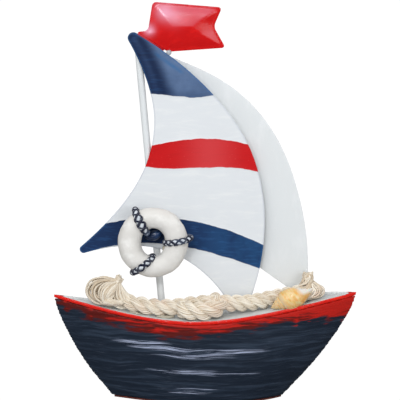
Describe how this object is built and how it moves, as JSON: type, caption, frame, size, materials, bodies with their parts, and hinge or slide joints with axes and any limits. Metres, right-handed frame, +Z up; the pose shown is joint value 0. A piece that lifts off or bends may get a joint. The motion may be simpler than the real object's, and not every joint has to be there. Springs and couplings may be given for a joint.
{
  "type": "sailboat ornament",
  "caption": "Table-top sailboat ornament: carved hull, tin sails on a leaning rod mast, embossed pennant, lifebuoy, twisted deck rope and sea shell.",
  "frame": {"origin": "on the table, under the middle of the hull's length and breadth", "axes": "+X from bow to stern, +Z up, -Y towards the dressed side with the lifebuoy, rope and shell"},
  "size_m": [0.1837, 0.0494, 0.2398],
  "materials": {
    "bare_wood": "bare, sanded",
    "hull_paint": "brushed paint, satin",
    "rim_paint": "gloss paint",
    "deck_paint": "satin paint",
    "white_metal": "satin paint",
    "banded_metal": "white satin paint with red and navy bands",
    "flag_paint": "gloss paint",
    "solder": "dull",
    "resin": "satin",
    "wrap_cord": "twisted navy and white cord",
    "glue": "set glue",
    "cotton": "twisted cotton yarn",
    "shell": "natural sea shell"
  },
  "bodies": {
    "root": {"base_board": "bare_wood", "hull_body": "hull_paint", "gunwale_rim": "rim_paint", "deck_board": "deck_paint", "mast": "white_metal", "fore_sail": "banded_metal", "aft_sail": "white_metal", "flag": "flag_paint", "fore_sail_solder": "solder", "aft_sail_solder": "solder", "flag_solder": "solder", "lifebuoy_ring": "resin", "lifebuoy_wrap_bow": "wrap_cord", "lifebuoy_wrap_stern": "wrap_cord", "lifebuoy_wrap_foot": "wrap_cord", "lifebuoy_glue": "glue", "wrap_glue": "glue", "deck_rope": "cotton", "rope_knot": "cotton", "rope_fray_bow": "cotton", "rope_fray_stern": "cotton", "rope_glue": "glue", "shell": "shell", "shell_glue": "glue"}
  },
  "joints": []
}
